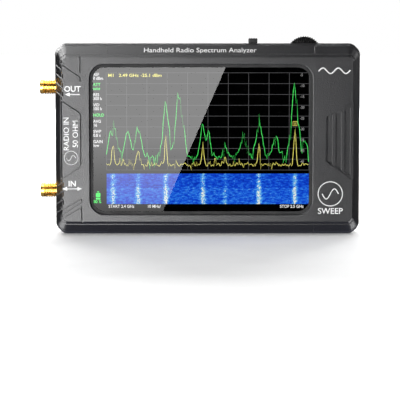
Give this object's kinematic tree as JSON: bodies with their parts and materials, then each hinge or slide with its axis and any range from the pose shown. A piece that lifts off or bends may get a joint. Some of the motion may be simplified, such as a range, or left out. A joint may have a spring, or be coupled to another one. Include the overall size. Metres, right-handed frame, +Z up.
{
  "type": "handheld spectrum analyzer",
  "caption": "Handheld radio spectrum analyzer: slim two-shell case with a wide display, threaded coaxial jacks on one side, and a slide switch and thumbwheel on top.",
  "frame": {"origin": "middle of the case's flat bottom edge, which it stands on", "axes": "+X to the right seen from the front, along the longest side; -Y out of the display, +Y to the rear; +Z up"},
  "size_m": [0.1324, 0.02, 0.0823],
  "materials": {
    "case_plastic": "fine spark-eroded grain",
    "control_plastic": "satin moulded",
    "display_glass": "glossy, dark printed border",
    "display_panel": "glossy",
    "light_guide_plastic": "clear moulded",
    "pressed_steel": "tinned sheet",
    "screw_steel": "blackened",
    "insert_brass": "turned",
    "gold_brass": "gold plated, turned",
    "jack_insulator": "turned fluoropolymer",
    "board_laminate": "solder resist",
    "chip_resin": "moulded",
    "connector_plastic": "moulded",
    "flex_film": "film",
    "gasket_foam": "closed-cell foam",
    "lamp_lens": "clear moulded",
    "battery_foil": "pouch foil",
    "lead_insulation": "extruded"
  },
  "bodies": {
    "case": {"front_shell": "case_plastic", "rear_shell": "case_plastic", "case_screws": "screw_steel", "board_screws": "screw_steel", "threaded_inserts": "insert_brass", "glass_gasket": "gasket_foam", "cover_glass": "display_glass", "lcd_cell": "display_panel", "light_guide": "light_guide_plastic", "backlight_tray": "pressed_steel", "display_pads": "gasket_foam", "display_flex": "flex_film", "touch_flex": "flex_film", "fpc_connectors": "connector_plastic", "main_board": "board_laminate", "rf_chips": "chip_resin", "logic_chips": "chip_resin", "power_coils": "chip_resin", "reference_oscillator": "pressed_steel", "shield_input": "pressed_steel", "shield_cal": "pressed_steel", "sma_input_body": "gold_brass", "sma_cal_body": "gold_brass", "sma_input_dielectric": "jack_insulator", "sma_cal_dielectric": "jack_insulator", "sma_input_contact": "gold_brass", "sma_cal_contact": "gold_brass", "usb_shell": "pressed_steel", "usb_tongue": "connector_plastic", "microsd_socket": "pressed_steel", "audio_jack": "connector_plastic", "status_led": "lamp_lens", "light_pipe": "lamp_lens", "power_switch_body": "pressed_steel", "jog_switch_body": "connector_plastic", "battery_pack": "battery_foil", "battery_pad": "gasket_foam", "battery_leads": "lead_insulation", "battery_plug": "connector_plastic", "battery_header": "connector_plastic"},
    "power_slider": {"power_slider": "control_plastic", "power_lever": "connector_plastic"},
    "jog_carrier": {"jog_carrier": "pressed_steel", "jog_axle": "screw_steel"},
    "jog_wheel": {"jog_wheel": "control_plastic"}
  },
  "joints": [
    {"name": "power_slide", "type": "slide", "parent": "case", "child": "power_slider", "axis": [-1, 0, 0], "range_m": [0, 0.003]},
    {"name": "jog_press", "type": "slide", "parent": "case", "child": "jog_carrier", "axis": [0, 0, -1], "range_m": [0, 0.0005], "stiffness_N_per_m": 1500, "springref_m": -0.0005},
    {"name": "jog_turn", "type": "hinge", "parent": "jog_carrier", "child": "jog_wheel", "pos_m": [0.0401, -0.001, 0.07475], "axis": [0, 1, 0], "range_deg": [-15, 15], "stiffness_Nm_per_rad": 0.028}
  ]
}
